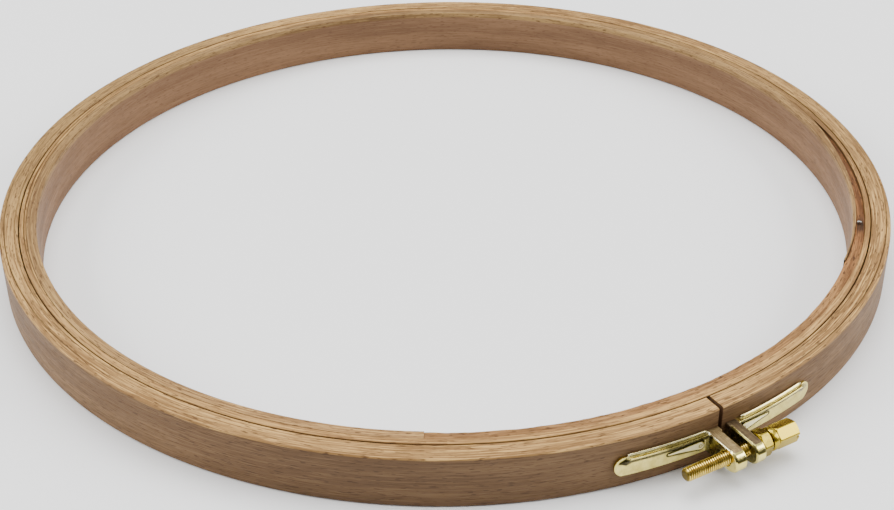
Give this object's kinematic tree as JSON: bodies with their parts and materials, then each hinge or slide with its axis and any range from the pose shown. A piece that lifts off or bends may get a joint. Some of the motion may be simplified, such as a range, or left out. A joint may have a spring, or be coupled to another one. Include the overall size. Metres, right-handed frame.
{
  "type": "embroidery_hoop",
  "caption": "Round wooden embroidery hoop with a split outer ring, brass brackets and a clamp screw",
  "frame": {"origin": "On the rings' common axis, in the plane that both rings stand on", "axes": "+Z is the rings' axis, up; -Y is the front of the picture; the split with its screw lies 30 degrees round from -Y toward +X"},
  "size_m": [0.2892, 0.2892, 0.016],
  "materials": {
    "outer_ring_beech": "bent beech, sanded and thinly waxed, pinkish outside",
    "inner_ring_beech": "light beech plies, sanded, sawn edges",
    "red_beech": "redder beech strip with a rough sawn edge",
    "steel_wire": "dull drawn wire",
    "cast_brass": "polished front, dull sawn ear tops",
    "turned_brass": "turned and threaded, bright",
    "nut_brass": "bright hexagon bar"
  },
  "bodies": {
    "outer_left": {"outer_ring_left": "outer_ring_beech", "left_bracket": "cast_brass"},
    "outer_right": {"outer_ring_right": "outer_ring_beech", "right_bracket": "cast_brass"},
    "screw": {"clamp_screw": "turned_brass", "collar_nut": "nut_brass"},
    "inner_ring": {"inner_ring_outer_ply": "inner_ring_beech", "inner_ring_inner_ply": "inner_ring_beech", "inner_ring_closing_strip": "red_beech", "scarf_staple": "steel_wire"}
  },
  "joints": [
    {"name": "ring_flex", "type": "hinge", "parent": "outer_left", "child": "outer_right", "pos_m": [-0.07331, 0.1247, 0], "axis": [0, 0, 1], "range_deg": [0, 1.48]},
    {"name": "screw_turn", "type": "hinge", "parent": "outer_right", "child": "screw", "pos_m": [0.07765, -0.13209, 0.00695], "axis": [0.8621, 0.5068, 0], "range_deg": [0, 3960]},
    {"name": "inner_ring_lift", "type": "slide", "parent": "outer_left", "child": "inner_ring", "axis": [0, 0, 1], "range_m": [0, 0.03]}
  ],
  "couplings": [
    {"joint": "screw_turn", "follows": "ring_flex", "ratio": 2673.7}
  ]
}
